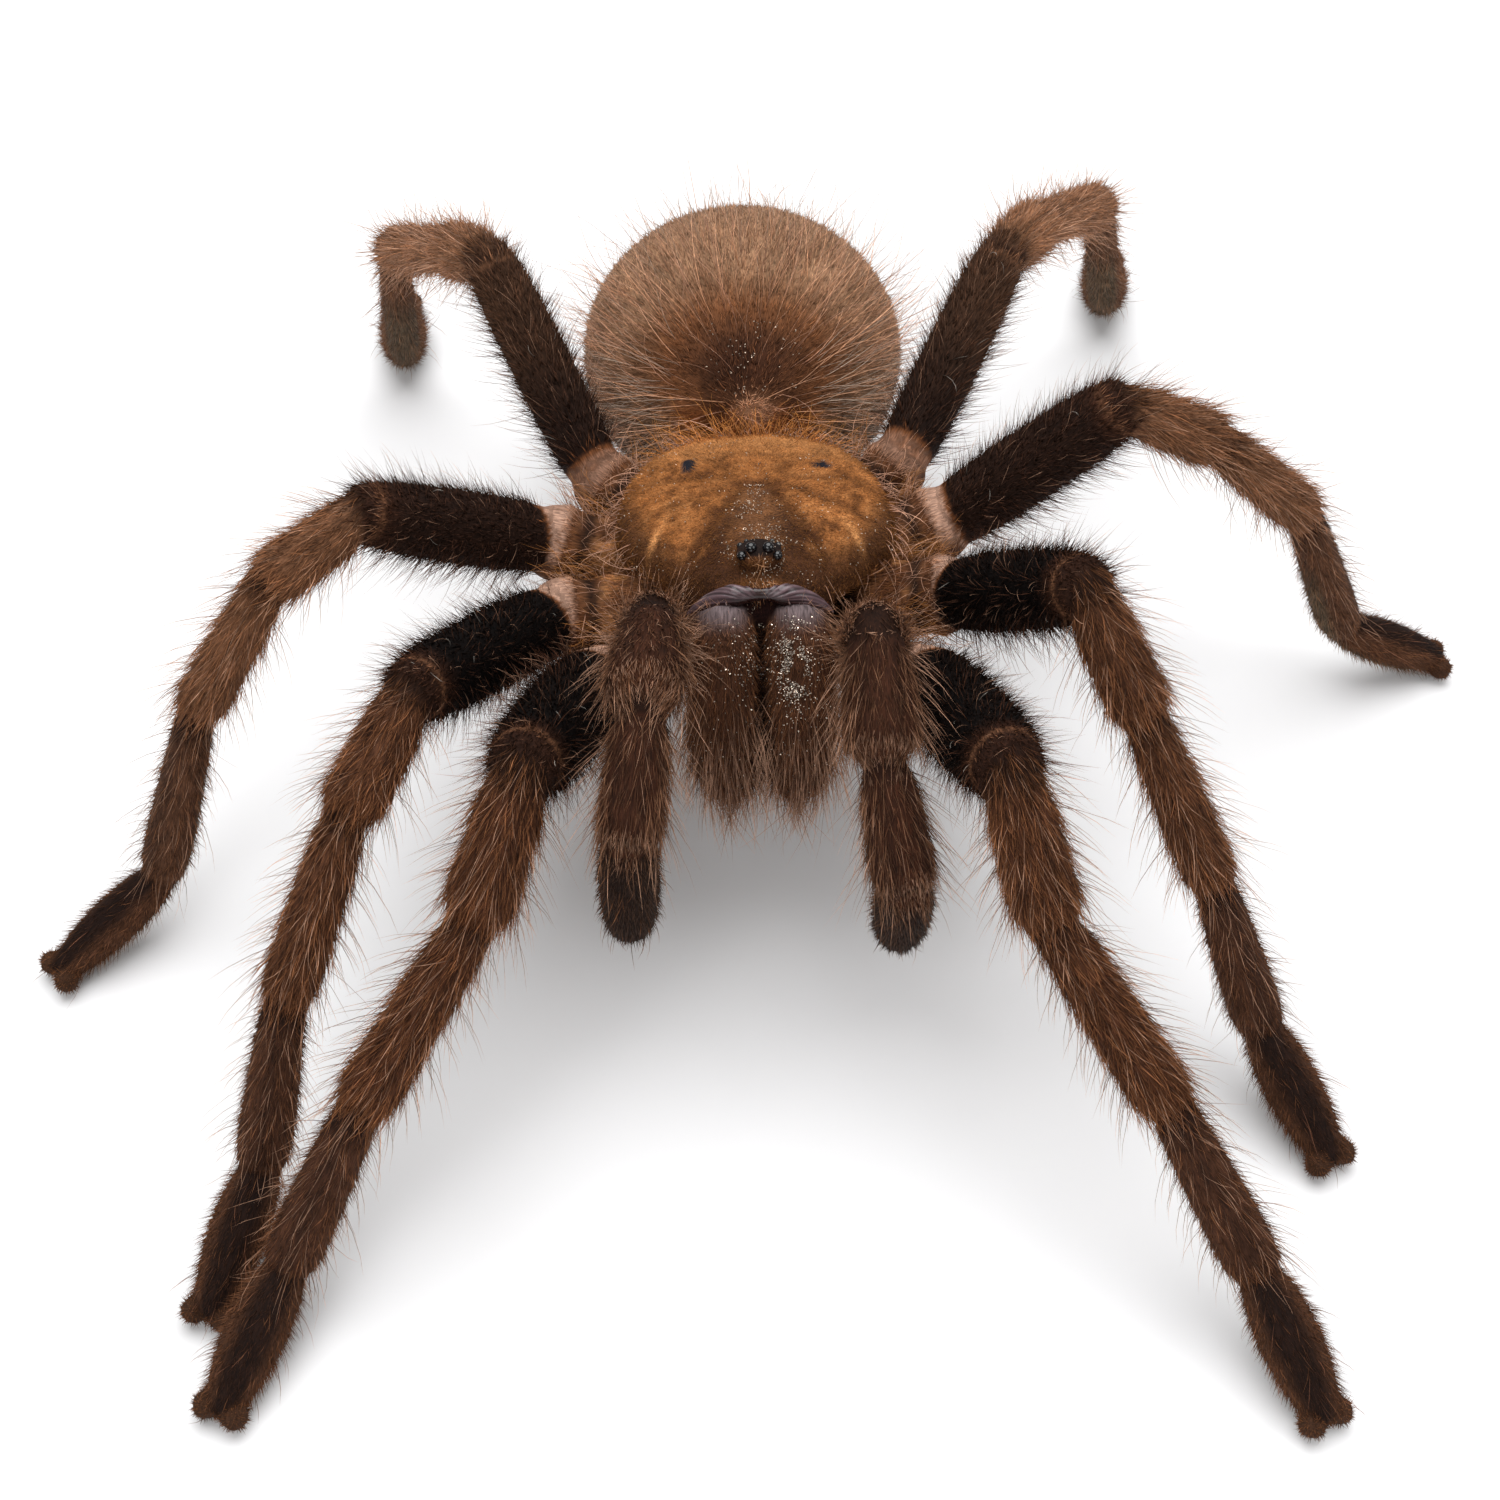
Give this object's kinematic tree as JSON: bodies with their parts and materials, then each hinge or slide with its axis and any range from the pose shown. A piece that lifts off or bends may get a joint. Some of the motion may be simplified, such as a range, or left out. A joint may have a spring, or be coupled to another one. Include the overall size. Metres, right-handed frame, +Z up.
{
  "type": "texas tan tarantula",
  "caption": "Still life-size model of a tan and brown hairy tarantula standing with spread legs, raised knees and hanging palps.",
  "frame": {"origin": "on the floor under the middle of the model's box", "axes": "+Z up, -Y the way the spider faces, +X to the spider's left; the feet rest on z = 0"},
  "size_m": [0.0924, 0.1016, 0.0309],
  "materials": {
    "carapace": "matte",
    "abdomen": "matte",
    "femur_black": "matte",
    "leg_brown": "matte",
    "foot_brown": "matte",
    "eyes": "gloss",
    "claw_black": "gloss"
  },
  "bodies": {
    "root": {"abdomen": "abdomen", "cephalothorax": "carapace", "chelicera_left": "leg_brown", "chelicera_right": "leg_brown", "eye_tubercle": "eyes", "fang_left": "claw_black", "fang_right": "claw_black", "leg1_left_femur": "femur_black", "leg1_left_metatarsus": "foot_brown", "leg1_left_patella": "leg_brown", "leg1_left_tarsus": "foot_brown", "leg1_left_tibia": "leg_brown", "leg1_right_femur": "femur_black", "leg1_right_metatarsus": "foot_brown", "leg1_right_patella": "leg_brown", "leg1_right_tarsus": "foot_brown", "leg1_right_tibia": "leg_brown", "leg2_left_femur": "femur_black", "leg2_left_metatarsus": "foot_brown", "leg2_left_patella": "leg_brown", "leg2_left_tarsus": "foot_brown", "leg2_left_tibia": "leg_brown", "leg2_right_femur": "femur_black", "leg2_right_metatarsus": "foot_brown", "leg2_right_patella": "leg_brown", "leg2_right_tarsus": "foot_brown", "leg2_right_tibia": "leg_brown", "leg3_left_femur": "femur_black", "leg3_left_metatarsus": "foot_brown", "leg3_left_patella": "leg_brown", "leg3_left_tarsus": "foot_brown", "leg3_left_tibia": "leg_brown", "leg3_right_femur": "femur_black", "leg3_right_metatarsus": "foot_brown", "leg3_right_patella": "leg_brown", "leg3_right_tarsus": "foot_brown", "leg3_right_tibia": "leg_brown", "leg4_left_femur": "femur_black", "leg4_left_metatarsus": "foot_brown", "leg4_left_patella": "leg_brown", "leg4_left_tarsus": "foot_brown", "leg4_left_tibia": "leg_brown", "leg4_right_femur": "femur_black", "leg4_right_metatarsus": "foot_brown", "leg4_right_patella": "leg_brown", "leg4_right_tarsus": "foot_brown", "leg4_right_tibia": "leg_brown", "palp_left_femur": "femur_black", "palp_left_patella": "leg_brown", "palp_left_tarsus": "foot_brown", "palp_left_tibia": "leg_brown", "palp_right_femur": "femur_black", "palp_right_patella": "leg_brown", "palp_right_tarsus": "foot_brown", "palp_right_tibia": "leg_brown", "pedicel": "leg_brown", "spinneret_left": "leg_brown", "spinneret_right": "leg_brown"}
  },
  "joints": []
}
